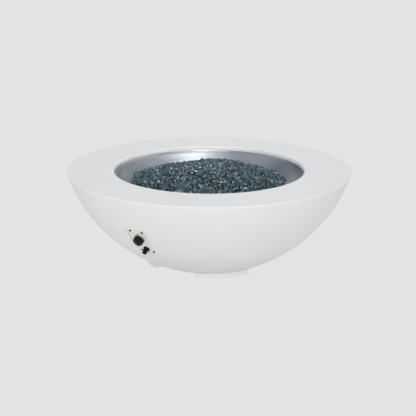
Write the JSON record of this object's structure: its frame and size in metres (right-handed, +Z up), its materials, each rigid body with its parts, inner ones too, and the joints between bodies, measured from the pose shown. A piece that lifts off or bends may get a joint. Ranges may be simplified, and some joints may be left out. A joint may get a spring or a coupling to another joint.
{
  "type": "gas fire pit bowl",
  "caption": "Round cast concrete gas fire bowl with a flat rim, a stainless burner pan heaped with fire glass, and a side panel with a push-and-turn knob and a push-button igniter.",
  "frame": {"origin": "on the ground under the centre of the bowl", "axes": "+Z up; -Y is the front, with the control panel towards front left (-X)"},
  "size_m": [1.0666, 1.0666, 0.374],
  "materials": {
    "concrete": "cast, fine and matte, off-white",
    "foot_concrete": "cast, fine and matte, pale grey",
    "rubber": "black matte rubber",
    "plate_paint": "warm white powder coat",
    "black_screw": "black oxide",
    "brass": "machined brass",
    "spindle_steel": "turned steel",
    "black_plastic": "moulded, satin black",
    "button_plastic": "moulded, black, slightly glossy",
    "cell_jacket": "plain grey jacket",
    "gasket_fibre": "woven ceramic fibre",
    "pan_steel": "spun satin stainless steel",
    "burner_steel": "stainless steel",
    "mixer_metal": "die-cast",
    "ceramic": "white insulator",
    "copper": "drawn copper",
    "hose_steel": "corrugated stainless steel",
    "lead_silicone": "red silicone insulation",
    "fire_glass": "crushed tempered glass, slate blue-green"
  },
  "bodies": {
    "bowl": {"bowl_shell": "concrete", "foot_front": "foot_concrete", "foot_left": "foot_concrete", "foot_rear": "foot_concrete", "foot_pads": "rubber", "control_plate": "plate_paint", "plate_screws": "black_screw", "plate_anchors": "brass", "gas_valve": "brass", "valve_screws": "black_screw", "gas_inlet": "brass", "igniter_body": "black_plastic", "igniter_battery": "cell_jacket", "igniter_nut": "black_plastic", "igniter_terminal": "brass", "pan_gasket": "gasket_fibre", "burner_pan": "pan_steel", "burner_ring": "burner_steel", "burner_washers": "burner_steel", "burner_locknut": "brass", "air_mixer": "mixer_metal", "mixer_fitting": "brass", "flex_nuts": "brass", "pilot_bracket": "burner_steel", "spark_electrode": "ceramic", "electrode_rod": "burner_steel", "thermocouple": "copper", "pilot_hood": "burner_steel", "fire_glass": "fire_glass", "gas_flex_line": "hose_steel", "ignition_lead": "lead_silicone", "thermocouple_lead": "copper"},
    "plug": {"valve_plug": "brass"},
    "knob": {"control_knob": "black_plastic", "valve_stem": "spindle_steel"},
    "button": {"igniter_button": "button_plastic"}
  },
  "joints": [
    {"name": "knob_turn", "type": "hinge", "parent": "bowl", "child": "plug", "pos_m": [-0.24092, -0.37407, 0.20141], "axis": [-0.4205, -0.66, -0.6225], "range_deg": [0, 180]},
    {"name": "knob_push", "type": "slide", "parent": "plug", "child": "knob", "axis": [0.4205, 0.66, 0.6225], "range_m": [0, 0.0035], "stiffness_N_per_m": 2500},
    {"name": "igniter_push", "type": "slide", "parent": "bowl", "child": "button", "axis": [0.4205, 0.66, 0.6225], "range_m": [0, 0.004], "stiffness_N_per_m": 1500}
  ]
}
